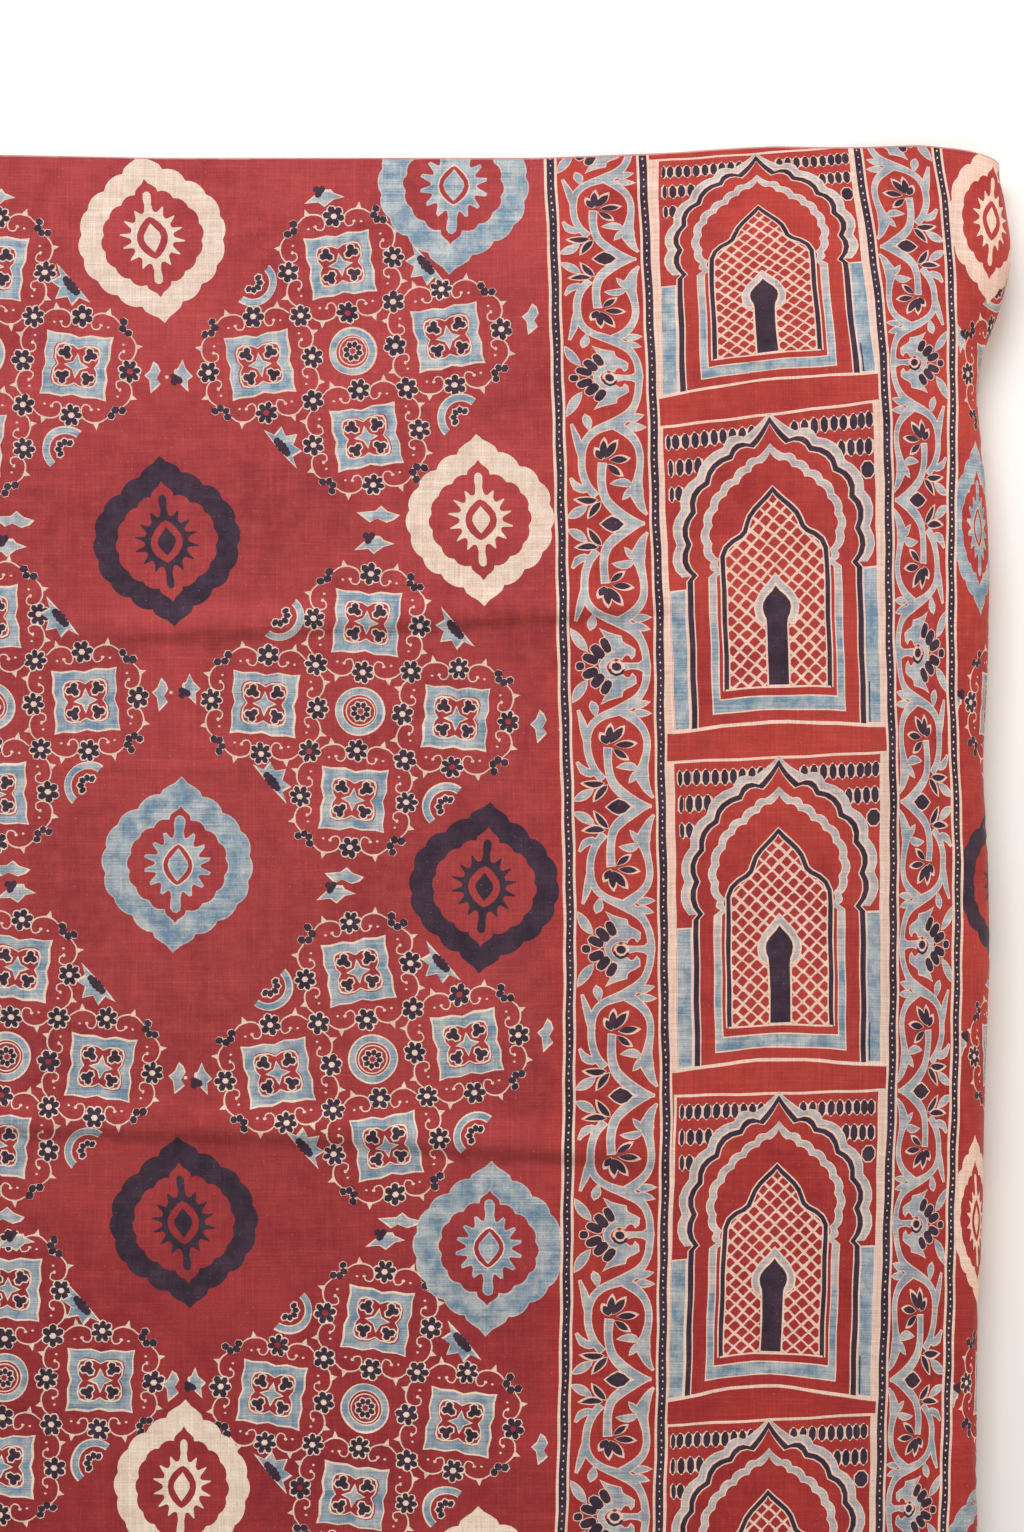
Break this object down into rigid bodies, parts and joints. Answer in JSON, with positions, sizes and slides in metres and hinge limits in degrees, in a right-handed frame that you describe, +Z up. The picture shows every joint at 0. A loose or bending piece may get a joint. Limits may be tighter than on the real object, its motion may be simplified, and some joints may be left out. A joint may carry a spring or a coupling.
{
  "type": "block-printed cotton cloth",
  "caption": "Block-printed red cotton cloth laid out flat, face up, with one side turned under in a soft roll and two low storage folds across it.",
  "frame": {"origin": "on the surface that the cloth lies on, under the middle of its laid outline", "axes": "+X across the cloth towards the side that is turned under, +Y along the cloth towards its top edge, +Z up off the surface"},
  "size_m": [0.7854, 1.005, 0.0367],
  "materials": {
    "printed_cotton": "plain-weave cotton, dyed madder red with indigo, black and undyed cream print, matt and slightly mottled"
  },
  "bodies": {
    "root": {"ajrakh_cloth": "printed_cotton"}
  },
  "joints": []
}
